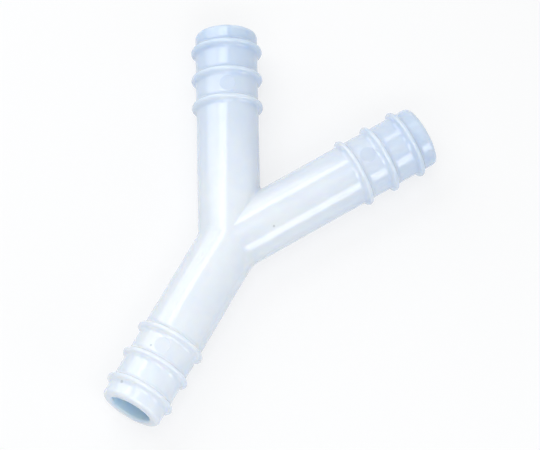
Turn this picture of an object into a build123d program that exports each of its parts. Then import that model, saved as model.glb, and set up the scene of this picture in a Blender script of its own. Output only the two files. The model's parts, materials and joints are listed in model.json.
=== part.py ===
from build123d import *
import os
from math import atan2, degrees

# One-piece moulded Y connector for soft tubing, in millimetres.
# Three tubes of one size meet at one point: a stem along -Y and two branches
# spread evenly about +Y. Every tube ends in a beaded hose end, and the bores
# run together in the middle. The axes lie level, and the piece rests on the
# lowest points of its beads.

# Tubes
TUBE_DIAMETER = 12.0     # outside of the plain tube
BORE_DIAMETER = 8.0      # clear passage
STEM_LENGTH = 38.4       # junction centre to the stem's tip
BRANCH_LENGTH = 43.0     # junction centre to a branch's tip
BRANCH_SPREAD = 60.0     # degrees between the two branches

# Beads that grip the tubing
BEAD_COUNT = 3
BEAD_HEIGHT = 0.87       # crest above the tube
BEAD_WIDTH = 2.6         # along the tube, root blends included
BEAD_CREST_RADIUS = 0.5
BEAD_PITCH = 5.8
TIP_TO_BEAD = 3.7        # tip to the middle of the first bead

# Edges
TIP_OUTER_RADIUS = 0.8   # lead-in that lets the tubing start
TIP_INNER_RADIUS = 0.45  # bore mouth
CROTCH_RADIUS = 0.45     # blend between the two branches
SHOULDER_RADIUS = 4.0    # softer blend where the stem turns into each branch

# Flats left by the mould's ejector pins
PIN_MARK_DIAMETER = 3.0
PIN_MARK_DEPTH = 0.12    # below the top of the tube

# Sizes that follow
TUBE_RADIUS = TUBE_DIAMETER / 2
BORE_RADIUS = BORE_DIAMETER / 2
HALF_BEAD = BEAD_WIDTH / 2
# with this root radius, crest and roots are tangent to each other and to the tube
BEAD_ROOT_RADIUS = (HALF_BEAD**2 + BEAD_HEIGHT**2) / (2 * BEAD_HEIGHT) - BEAD_CREST_RADIUS
AXIS_HEIGHT = TUBE_RADIUS + BEAD_HEIGHT
HALF_SPREAD = BRANCH_SPREAD / 2

# Each tube's length, and the turn about Z that takes +Y to its axis
TUBES = [(STEM_LENGTH, 180.0), (BRANCH_LENGTH, HALF_SPREAD), (BRANCH_LENGTH, -HALF_SPREAD)]


def bead_arcs(middle):
    """Root, crest and root of one bead, on a wall that runs along +Y at +X."""
    root_x = TUBE_RADIUS + BEAD_ROOT_RADIUS
    crest_x = TUBE_RADIUS + BEAD_HEIGHT - BEAD_CREST_RADIUS
    turn = 180 - degrees(atan2(HALF_BEAD, crest_x - root_x))
    return [
        CenterArc((root_x, middle - HALF_BEAD), BEAD_ROOT_RADIUS, 180, -turn),
        CenterArc((crest_x, middle), BEAD_CREST_RADIUS, -turn, 2 * turn),
        CenterArc((root_x, middle + HALF_BEAD), BEAD_ROOT_RADIUS, turn - 180, -turn),
    ]


def beaded_tube(length):
    """Outer form of one tube along +Y, solid, from the junction centre to its tip."""
    edge_x = TUBE_RADIUS - TIP_OUTER_RADIUS
    edge_y = length - TIP_OUTER_RADIUS
    outline = [Line((0, 0), (TUBE_RADIUS, 0))]
    wall_start = 0
    for i in reversed(range(BEAD_COUNT)):
        middle = length - TIP_TO_BEAD - i * BEAD_PITCH
        outline.append(Line((TUBE_RADIUS, wall_start), (TUBE_RADIUS, middle - HALF_BEAD)))
        outline += bead_arcs(middle)
        wall_start = middle + HALF_BEAD
    outline.append(Line((TUBE_RADIUS, wall_start), (TUBE_RADIUS, edge_y)))
    outline.append(CenterArc((edge_x, edge_y), TIP_OUTER_RADIUS, 0, 90))
    outline.append(Line((edge_x, length), (0, length)))
    outline.append(Line((0, length), (0, 0)))
    return revolve(make_face(outline), Axis.Y)


def bore(length):
    """Passage of one tube along +Y, flared at the mouth, to be cut away."""
    mouth_x = BORE_RADIUS + TIP_INNER_RADIUS
    mouth_y = length - TIP_INNER_RADIUS
    past_tip = length + TIP_INNER_RADIUS
    outline = [
        Line((0, 0), (BORE_RADIUS, 0)),
        Line((BORE_RADIUS, 0), (BORE_RADIUS, mouth_y)),
        CenterArc((mouth_x, mouth_y), TIP_INNER_RADIUS, 180, -90),
        Line((mouth_x, length), (mouth_x, past_tip)),
        Line((mouth_x, past_tip), (0, past_tip)),
        Line((0, past_tip), (0, 0)),
    ]
    return revolve(make_face(outline), Axis.Y)


def pin_mark(length):
    """Round flat on top of a tube along +Y, midway between its last two beads.

    Returns the pad that fills up to the flat, and the disc that is cut off above it.
    """
    along = length - TIP_TO_BEAD - (BEAD_COUNT - 1.5) * BEAD_PITCH
    flat_height = TUBE_RADIUS - PIN_MARK_DEPTH
    upward = (Align.CENTER, Align.CENTER, Align.MIN)
    radius = PIN_MARK_DIAMETER / 2
    pad = Pos(0, along, 0) * Cylinder(radius, flat_height, align=upward)
    disc = Pos(0, along, flat_height) * Cylinder(radius, TUBE_RADIUS, align=upward)
    return pad, disc


def placed(make):
    """The same form made once for each tube and turned onto its axis."""
    return [Rot(0, 0, turn) * make(length) for length, turn in TUBES]


def blended_junction(body):
    """Rounds the creases where the three tubes run together, the tight one between the branches first."""
    near_plane = 0.001
    crotch = [e for e in body.edges() if abs(e.center().X) < near_plane and e.center().Y > 0]
    body = fillet(crotch, CROTCH_RADIUS)
    near_junction = TUBE_RADIUS
    shoulders = [
        e
        for e in body.edges().filter_by(GeomType.ELLIPSE)
        if abs(e.center().X) > near_plane and abs(e.center().Y) < near_junction
    ]
    return fillet(shoulders, SHOULDER_RADIUS)


def y_connector():
    stem, left_branch, right_branch = placed(beaded_tube)
    body = blended_junction(stem + left_branch + right_branch)
    for length, turn in TUBES:
        pad, disc = pin_mark(length)
        body += Rot(0, 0, turn) * pad
        body -= Rot(0, 0, turn) * disc
    for passage in placed(bore):
        body -= passage
    # the frame's origin is under the middle of the outline, at floor level
    box = body.bounding_box()
    return Pos(0, -(box.min.Y + box.max.Y) / 2, AXIS_HEIGHT) * body


os.makedirs("parts", exist_ok=True)
connector = y_connector()
box = connector.bounding_box()
print("size", [round(v, 3) for v in (box.size.X, box.size.Y, box.size.Z)])
print("junction at y", round(box.min.Y + STEM_LENGTH, 4), "volume", round(connector.volume, 1))
export_step(connector, "parts/y_connector.step")
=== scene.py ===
"""Looks for the tubing Y connector: one translucent moulding on a pale floor in soft light."""
import json
import math

import bpy
from mathutils import Matrix, Vector

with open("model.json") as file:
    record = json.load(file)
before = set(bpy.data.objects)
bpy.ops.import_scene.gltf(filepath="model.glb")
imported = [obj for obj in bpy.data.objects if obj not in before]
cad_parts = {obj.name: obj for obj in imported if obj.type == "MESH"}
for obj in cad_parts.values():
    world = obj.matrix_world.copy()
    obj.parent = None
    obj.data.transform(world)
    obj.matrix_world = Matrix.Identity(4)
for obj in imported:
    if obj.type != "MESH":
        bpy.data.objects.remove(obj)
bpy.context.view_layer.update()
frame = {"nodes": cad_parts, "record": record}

MM = 0.001
UP = Vector((0, 0, 1))

# ---- Where things are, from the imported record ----
MOUNTS = {mount["name"]: mount for mount in frame["record"]["mounts"]}
STEM, LEFT, RIGHT = "stem", "left_branch", "right_branch"


def tube_axis(tube):
    """The direction from the junction out along a tube."""
    return Vector(MOUNTS[f"{tube}_bore"]["axis"])


def tube_tip(tube):
    """The middle of a tube's open end."""
    mount = MOUNTS[f"{tube}_hose_end"]
    return Vector(mount["pos_m"]) + tube_axis(tube) * mount["dims"]["length_mm"] * MM


# The stem's bore mount sits inside the tube's mouth, this far from the middle of the junction.
STEM_BORE_REACH = 33.4 * MM
JUNCTION = Vector(MOUNTS["stem_bore"]["pos_m"]) - tube_axis(STEM) * STEM_BORE_REACH
TUBE_RADIUS = MOUNTS["stem_hose_end"]["dims"]["r_mm"] * MM
BORE_RADIUS = MOUNTS["stem_bore"]["dims"]["r_mm"] * MM
BEAD_HEIGHT = JUNCTION.z - TUBE_RADIUS  # the beads' crests rest on the floor


# ---- Colours and nodes ----
def srgb(code):
    """A linear RGBA colour from an sRGB hex code."""
    channels = [int(code[i : i + 2], 16) / 255 for i in (1, 3, 5)]
    linear = [c / 12.92 if c <= 0.04045 else ((c + 0.055) / 1.055) ** 2.4 for c in channels]
    return linear + [1.0]


def add_node(tree, kind, settings=None, inputs=None):
    """One node with its settings; an input is a plain value, or another node's output to link."""
    made = tree.nodes.new(kind)
    for name, value in (settings or {}).items():
        setattr(made, name, value)
    for socket, value in (inputs or {}).items():
        if isinstance(value, bpy.types.NodeSocket):
            tree.links.new(value, made.inputs[socket])
        else:
            made.inputs[socket].default_value = value
    return made


def new_material(name):
    """An empty node material and its output node."""
    material = bpy.data.materials.new(name)
    material.use_nodes = True
    material.node_tree.nodes.clear()
    return material, add_node(material.node_tree, "ShaderNodeOutputMaterial")


def seen_directly(tree):
    """1 where a surface is seen, straight, mirrored or through glass, and 0 where it only lights."""
    ray = add_node(tree, "ShaderNodeLightPath").outputs
    seen = ray["Is Camera Ray"]
    for other in ("Is Glossy Ray", "Is Transmission Ray"):
        seen = add_node(
            tree,
            "ShaderNodeMath",
            {"operation": "ADD", "use_clamp": True},
            {0: seen, 1: ray[other]},
        ).outputs[0]
    return seen


# ---- The connector's plastic ----
# How each tube clears towards its tip: where that starts, how far it gets (1 is the left tip's
# blue), and how late it happens (above 1, most of it is near the tip).
CLEARING = {
    STEM: (24 * MM, 0.06, 1.2),
    LEFT: (6 * MM, 1.0, 1.2),
    RIGHT: (6 * MM, 0.87, 1.9),
}
FAR_OFF = 1000 * MM  # well past anything on the connector

SLOW_COOLED_WHITE = "#E8EFF9"
CLEARED_BLUE = "#C5D7EC"
# painted shade for the beads' crests, which tones down the light on them
CREST_PAINTED_SHADE_BLUE = "#A4BFE2"
# painted shade for the inside of the bore
BORE_PAINTED_SHADE_BLUE = "#CDE3F3"
# this grey colours the flow marks, and is painted shade on the ejector pins' flats
FLOW_MARK_AND_PIN_SHADE_GREY = "#A9BCD6"
PARTING_GREY = "#93A5BC"
SPECK_GREY = "#4C5560"

# A noise keeps nearly all its values between these two.
NOISE_LOW, NOISE_HIGH = 0.3, 0.7

# Flow marks spread over two or three times the 2 mm wall that the plastic flowed through.
CLOUD_SIZE, CLOUD_DETAIL, CLOUD_DEPTH = 5 * MM, 3.0, 0.1
# The second value is how much painted shade darkens the beads' crests.
CREST_START, CREST_SHADE_DEPTH = TUBE_RADIUS + 0.3 * BEAD_HEIGHT, 0.14
BORE_EDGE_IN, BORE_EDGE_OUT = BORE_RADIUS + 0.1 * MM, BORE_RADIUS + 0.5 * MM

# The parting line's half width, solid and faded. A real one is a third of this, too fine to show.
LINE_SOLID, LINE_FADED, LINE_DEPTH = 0.03 * MM, 0.08 * MM, 0.45
LINE_BELOW_SKIN = 0.05 * MM  # how far inside the tube's radius the line still shows

MARK_FROM_TIP = 12.4 * MM
# The last value is how much painted shade darkens the ejector pins' flats.
MARK_RADIUS, MARK_EDGE, MARK_SHADE_DEPTH = 1.5 * MM, 0.1 * MM, 0.16
DULL_MARKS = (LEFT, RIGHT)  # the stem's pin mark is as white and glossy as the rest of it

# Dark specks moulded in near the surface: tube, distance from the junction, degrees round from
# the top, radius.
SPECKS = [
    (STEM, 35.7 * MM, -31.6, 0.42 * MM),
    (STEM, 27.0 * MM, -18.2, 0.3 * MM),
    (RIGHT, 7.8 * MM, 31.2, 0.3 * MM),
]
SPECK_DEPTH = 0.3

# Polishing the mould by hand leaves patches a few millimetres across.
POLISH_SIZE, POLISH_DETAIL = 4 * MM, 2.0
GLOSSY, LESS_GLOSSY, PIN_DULL = 0.09, 0.16, 0.19  # roughness

# The moulded skin's faint peel. Its real grain is under a millimetre, drawn coarser so it shows.
PEEL_SIZE, PEEL_DETAIL, PEEL_HEIGHT = 1.6 * MM, 1.0, 0.006 * MM

POLYPROPYLENE_IOR = 1.49
SKIN_SHINE = 1.0  # twice the usual 0.5, for the wet look of a moulding's polished skin
# How far light goes into it, and how much of that each of red, green and blue goes.
LIGHT_DEPTH = 2.5 * MM
DEPTH_OF_RED_GREEN_BLUE = (1.2, 1.0, 0.8)


def speck_place(tube, along, degrees):
    """A point on the outside of a tube, turned from its top towards the +X side."""
    axis = tube_axis(tube)
    sideways = axis.cross(UP).normalized()
    if sideways.x < 0:
        sideways.negate()
    turn = math.radians(degrees)
    outward = sideways * math.sin(turn) + UP * math.cos(turn)
    return JUNCTION + axis * along + outward * TUBE_RADIUS


def measure_tubes(tree, place, from_junction):
    """How a point lies to the tubes, as three node outputs.

    They are its distance from the nearest tube's axis, how far the plastic has cleared there,
    from 0 to 1, and its distance from the nearest dull pin mark.
    """
    reach, cleared, off_mark = FAR_OFF, 0.0, FAR_OFF
    for tube, (start, most, late) in CLEARING.items():
        axis, tip = tube_axis(tube), tube_tip(tube)
        along = add_node(
            tree,
            "ShaderNodeVectorMath",
            {"operation": "DOT_PRODUCT"},
            {0: from_junction, 1: axis},
        ).outputs["Value"]
        across = add_node(
            tree,
            "ShaderNodeVectorMath",
            {"operation": "CROSS_PRODUCT"},
            {0: from_junction, 1: axis},
        ).outputs["Vector"]
        off_axis = add_node(
            tree, "ShaderNodeVectorMath", {"operation": "LENGTH"}, {0: across}
        ).outputs["Value"]
        # a tube ends at the junction: behind it the comparison gives 1, which adds a whole metre
        behind = add_node(
            tree, "ShaderNodeMath", {"operation": "LESS_THAN"}, {0: along, 1: 0.0}
        ).outputs[0]
        own_reach = add_node(
            tree, "ShaderNodeMath", {"operation": "ADD"}, {0: off_axis, 1: behind}
        ).outputs[0]
        reach = add_node(
            tree, "ShaderNodeMath", {"operation": "MINIMUM"}, {0: own_reach, 1: reach}
        ).outputs[0]

        clears = add_node(
            tree,
            "ShaderNodeMapRange",
            inputs={"Value": along, "From Min": start, "From Max": (tip - JUNCTION).length},
        ).outputs["Result"]
        eased = add_node(
            tree, "ShaderNodeMath", {"operation": "POWER"}, {0: clears, 1: late}
        ).outputs[0]
        share = add_node(
            tree, "ShaderNodeMath", {"operation": "MULTIPLY"}, {0: eased, 1: most}
        ).outputs[0]
        cleared = add_node(
            tree, "ShaderNodeMath", {"operation": "MAXIMUM"}, {0: share, 1: cleared}
        ).outputs[0]

        if tube in DULL_MARKS:
            mark = tip - axis * MARK_FROM_TIP + UP * TUBE_RADIUS
            gap = add_node(
                tree, "ShaderNodeVectorMath", {"operation": "DISTANCE"}, {0: place, 1: mark}
            ).outputs["Value"]
            off_mark = add_node(
                tree, "ShaderNodeMath", {"operation": "MINIMUM"}, {0: gap, 1: off_mark}
            ).outputs[0]
    return reach, cleared, off_mark


def natural_polypropylene():
    """Natural polypropylene, injection moulded: light goes a few millimetres in, so it is milky.

    It is a cool white where it cooled slowly, in the stem and the junction, and clearer and bluer
    towards the branch ends, under a smooth, glossy skin.
    """
    material, output = new_material("natural_polypropylene_moulded")
    tree = material.node_tree
    place = add_node(tree, "ShaderNodeTexCoord").outputs["Object"]
    from_junction = add_node(
        tree, "ShaderNodeVectorMath", {"operation": "SUBTRACT"}, {0: place, 1: JUNCTION}
    ).outputs["Vector"]
    reach, cleared, off_mark = measure_tubes(tree, place, from_junction)

    clouds, polish, peel = [
        add_node(
            tree,
            "ShaderNodeTexNoise",
            inputs={"Vector": place, "Scale": 1 / size, "Detail": detail},
        ).outputs["Fac"]
        for size, detail in (
            (CLOUD_SIZE, CLOUD_DETAIL),
            (POLISH_SIZE, POLISH_DETAIL),
            (PEEL_SIZE, PEEL_DETAIL),
        )
    ]

    # the parting line is only on the outside: deeper in, the comparison's 1 puts it a metre off
    height = add_node(tree, "ShaderNodeSeparateXYZ", inputs={0: from_junction}).outputs["Z"]
    off_level = add_node(tree, "ShaderNodeMath", {"operation": "ABSOLUTE"}, {0: height}).outputs[0]
    in_wall = add_node(
        tree,
        "ShaderNodeMath",
        {"operation": "LESS_THAN"},
        {0: reach, 1: TUBE_RADIUS - LINE_BELOW_SKIN},
    ).outputs[0]
    off_line = add_node(
        tree, "ShaderNodeMath", {"operation": "ADD"}, {0: off_level, 1: in_wall}
    ).outputs[0]

    # Each layer of colour: what it follows, from where to where, how much it covers at those two
    # places, and its colour.
    layers = [
        # the clearing towards the tips
        (cleared, 0.0, 1.0, 0.0, 1.0, CLEARED_BLUE),
        # cloudy flow marks a few millimetres across, no more than a breath of grey
        (clouds, NOISE_LOW, NOISE_HIGH, 0.0, CLOUD_DEPTH, FLOW_MARK_AND_PIN_SHADE_GREY),
        # the beads' crests are painted a deeper blue, painted shade that tones down the light on
        # them
        (reach, CREST_START, TUBE_RADIUS + BEAD_HEIGHT, 0.0, CREST_SHADE_DEPTH, CREST_PAINTED_SHADE_BLUE),
        # the bore is painted a deeper blue: painted shade for the little light that reaches it
        # through the wall
        (reach, BORE_EDGE_IN, BORE_EDGE_OUT, 1.0, 0.0, BORE_PAINTED_SHADE_BLUE),
        # the two halves of the mould meet at the height of the axes, in a hairline
        (off_line, LINE_SOLID, LINE_FADED, LINE_DEPTH, 0.0, PARTING_GREY),
        # the ejector pins' flats are painted a shade deeper, as painted shade where they catch less
        # of the light
        (off_mark, MARK_RADIUS - MARK_EDGE, MARK_RADIUS + MARK_EDGE, MARK_SHADE_DEPTH, 0.0, FLOW_MARK_AND_PIN_SHADE_GREY),
    ]
    for tube, along, degrees, radius in SPECKS:
        speck = speck_place(tube, along, degrees)
        gap = add_node(
            tree, "ShaderNodeVectorMath", {"operation": "DISTANCE"}, {0: place, 1: speck}
        ).outputs["Value"]
        layers.append((gap, radius / 2, radius, SPECK_DEPTH, 0.0, SPECK_GREY))

    tint = srgb(SLOW_COOLED_WHITE)
    for follows, start, end, at_start, at_end, colour in layers:
        cover = add_node(
            tree,
            "ShaderNodeMapRange",
            inputs={
                "Value": follows,
                "From Min": start,
                "From Max": end,
                "To Min": at_start,
                "To Max": at_end,
            },
        ).outputs["Result"]
        tint = add_node(
            tree,
            "ShaderNodeMix",
            {"data_type": "RGBA"},
            {"Factor": cover, "A": tint, "B": srgb(colour)},
        ).outputs["Result"]

    # the mould's polish is uneven, and duller where the ejector pins pushed
    skin = add_node(
        tree,
        "ShaderNodeMapRange",
        inputs={
            "Value": polish,
            "From Min": NOISE_LOW,
            "From Max": NOISE_HIGH,
            "To Min": GLOSSY,
            "To Max": LESS_GLOSSY,
        },
    ).outputs["Result"]
    pinned = add_node(
        tree,
        "ShaderNodeMapRange",
        inputs={
            "Value": off_mark,
            "From Min": MARK_RADIUS - MARK_EDGE,
            "From Max": MARK_RADIUS + MARK_EDGE,
            "To Min": PIN_DULL,
            "To Max": 0.0,
        },
    ).outputs["Result"]
    roughness = add_node(
        tree, "ShaderNodeMath", {"operation": "MAXIMUM"}, {0: skin, 1: pinned}
    ).outputs[0]
    bump = add_node(
        tree, "ShaderNodeBump", inputs={"Height": peel, "Distance": PEEL_HEIGHT, "Strength": 1.0}
    ).outputs["Normal"]
    shader = add_node(
        tree,
        "ShaderNodeBsdfPrincipled",
        inputs={
            "Base Color": tint,
            "Roughness": roughness,
            "IOR": POLYPROPYLENE_IOR,
            "Specular IOR Level": SKIN_SHINE,
            "Subsurface Weight": 1.0,
            "Subsurface Radius": DEPTH_OF_RED_GREEN_BLUE,
            "Subsurface Scale": LIGHT_DEPTH,
            "Normal": bump,
        },
    )
    tree.links.new(shader.outputs["BSDF"], output.inputs["Surface"])
    return material


def finish_connector():
    """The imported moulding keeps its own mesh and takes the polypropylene."""
    connector = frame["nodes"]["y_connector"]
    connector.data.materials.clear()
    connector.data.materials.append(natural_polypropylene())
    for polygon in connector.data.polygons:
        polygon.use_smooth = True


# ---- Floor ----
STUDIO_WHITE = "#FFFFFF"
FLOOR_SIZE = 4000 * MM
PAPER_SEEN = "#F4F6F8"
PAPER_LIGHTING = "#D6DFEA"
PAPER_GLOW = 0.72  # how much of the seen paper is plain white


def matt_floor():
    """White background paper, smooth and matt: near white, with the connector's soft shadow on it.

    It lights the connector from below as pale grey card would, so the undersides stay deeper.
    """
    material, output = new_material("white_background_paper")
    tree = material.node_tree
    seen = seen_directly(tree)
    colour = add_node(
        tree,
        "ShaderNodeMix",
        {"data_type": "RGBA"},
        {"Factor": seen, "A": srgb(PAPER_LIGHTING), "B": srgb(PAPER_SEEN)},
    ).outputs["Result"]
    paper = add_node(tree, "ShaderNodeBsdfDiffuse", inputs={"Color": colour})
    white = add_node(
        tree, "ShaderNodeEmission", inputs={"Color": srgb(STUDIO_WHITE), "Strength": 1.0}
    )
    glow = add_node(tree, "ShaderNodeMath", {"operation": "MULTIPLY"}, {0: seen, 1: PAPER_GLOW})
    mix = add_node(
        tree,
        "ShaderNodeMixShader",
        inputs={0: glow.outputs[0], 1: paper.outputs[0], 2: white.outputs[0]},
    )
    tree.links.new(mix.outputs[0], output.inputs["Surface"])
    return material


def lay_floor():
    """A broad flat sheet under the connector."""
    half = FLOOR_SIZE / 2
    mesh = bpy.data.meshes.new("studio_floor")
    corners = [(-half, -half, 0), (half, -half, 0), (half, half, 0), (-half, half, 0)]
    mesh.from_pydata(corners, [], [(0, 1, 2, 3)])
    floor = bpy.data.objects.new("studio_floor", mesh)
    bpy.context.scene.collection.objects.link(floor)
    mesh.materials.append(matt_floor())


# ---- Light ----
LAMP_DISTANCE = 300 * MM
# Each softbox: azimuth (0 is the stem's side, 90 the right branch's), elevation, width, height,
# watts.
SOFTBOXES = {
    "top_softbox": (0, 88, 100 * MM, 100 * MM, 0.11),
    "top_diffuser": (0, 88, 250 * MM, 250 * MM, 0.04),
    "left_softbox_high": (-116, 57, 260 * MM, 90 * MM, 0.17),
    "left_softbox_middle": (-112, 37, 260 * MM, 100 * MM, 0.115),
    "left_softbox_low": (-108, 18, 260 * MM, 100 * MM, 0.09),
    "right_softbox": (78, 20, 140 * MM, 130 * MM, 0.14),
    "front_right_softbox": (49, 53, 105 * MM, 95 * MM, 0.12),
    "front_softbox": (10, 50, 180 * MM, 100 * MM, 0.135),
    "back_softbox": (180, 15, 200 * MM, 80 * MM, 0.05),
}
ROOM_LIGHT = 0.39
ROOM_SEEN = 1.0


def hang_softbox(name, azimuth, elevation, width, height, watts):
    """A rectangular lamp that faces the junction."""
    turn = Matrix.Rotation(math.radians(azimuth), 4, "Z") @ Matrix.Rotation(
        math.radians(90 - elevation), 4, "X"
    )
    lamp = bpy.data.lights.new(name, "AREA")
    lamp.shape = "RECTANGLE"
    lamp.size, lamp.size_y = width, height
    lamp.energy = watts
    placed = bpy.data.objects.new(name, lamp)
    away = Matrix.Translation(UP * LAMP_DISTANCE)
    placed.matrix_world = Matrix.Translation(JUNCTION) @ turn @ away
    bpy.context.scene.collection.objects.link(placed)


def light_studio():
    """An even pale room, with softboxes overhead and on every side, most of them to the left."""
    world = bpy.data.worlds.new("pale_studio")
    bpy.context.scene.world = world
    world.use_nodes = True
    tree = world.node_tree
    tree.nodes.clear()
    lighting, white = [
        add_node(
            tree,
            "ShaderNodeBackground",
            inputs={"Color": srgb(STUDIO_WHITE), "Strength": strength},
        ).outputs[0]
        for strength in (ROOM_LIGHT, ROOM_SEEN)
    ]
    mix = add_node(
        tree, "ShaderNodeMixShader", inputs={0: seen_directly(tree), 1: lighting, 2: white}
    )
    output = add_node(tree, "ShaderNodeOutputWorld")
    tree.links.new(mix.outputs[0], output.inputs["Surface"])
    for name, placing in SOFTBOXES.items():
        hang_softbox(name, *placing)


# ---- Camera ----
CAMERA_AZIMUTH = 26.12
CAMERA_ELEVATION = 68.71
CAMERA_ROLL = 2.86
CAMERA_DISTANCE = 655.0 * MM
CAMERA_AIM = JUNCTION + Vector((4.957, 6.821, 0)) * MM
CAMERA_LENS = 229.1


def place_camera():
    """Looks down on the Y from beyond the stem's right side."""
    camera = bpy.data.cameras.new("camera")
    camera.lens = CAMERA_LENS
    placed = bpy.data.objects.new("camera", camera)
    turn = (
        Matrix.Rotation(math.radians(CAMERA_AZIMUTH), 4, "Z")
        @ Matrix.Rotation(math.radians(90 - CAMERA_ELEVATION), 4, "X")
        @ Matrix.Rotation(math.radians(CAMERA_ROLL), 4, "Z")
    )
    back = turn.to_3x3() @ UP
    placed.matrix_world = Matrix.Translation(CAMERA_AIM + back * CAMERA_DISTANCE) @ turn
    bpy.context.scene.collection.objects.link(placed)
    bpy.context.scene.camera = placed


finish_connector()
lay_floor()
light_studio()
place_camera()
bpy.context.scene.view_settings.view_transform = "Standard"
